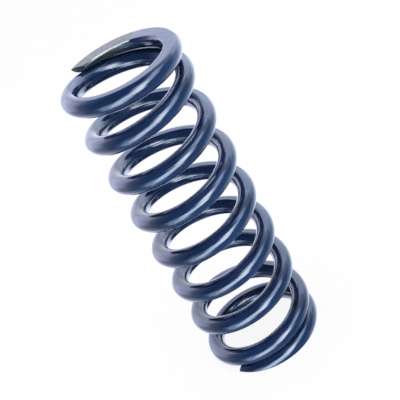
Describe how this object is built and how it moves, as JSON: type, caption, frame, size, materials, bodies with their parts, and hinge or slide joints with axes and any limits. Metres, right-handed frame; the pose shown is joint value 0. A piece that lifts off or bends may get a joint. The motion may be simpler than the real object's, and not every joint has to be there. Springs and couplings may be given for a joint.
{
  "type": "coilover spring",
  "caption": "Helical compression spring of round wire with closed and ground ends, made to sit round a damper between two spring seats.",
  "frame": {"origin": "on the coil's axis, in the plane of the lower ground face that the spring stands on", "axes": "+Z along the coil's axis towards the upper ground face; the lower tip lies at 223 degrees from +X about +Z"},
  "size_m": [0.0908, 0.0908, 0.254],
  "materials": {
    "navy_coat": "gloss navy powder coat over spring steel, thin and grey on the ground end faces and at the tips"
  },
  "bodies": {
    "root": {"coil_spring": "navy_coat"}
  },
  "joints": []
}
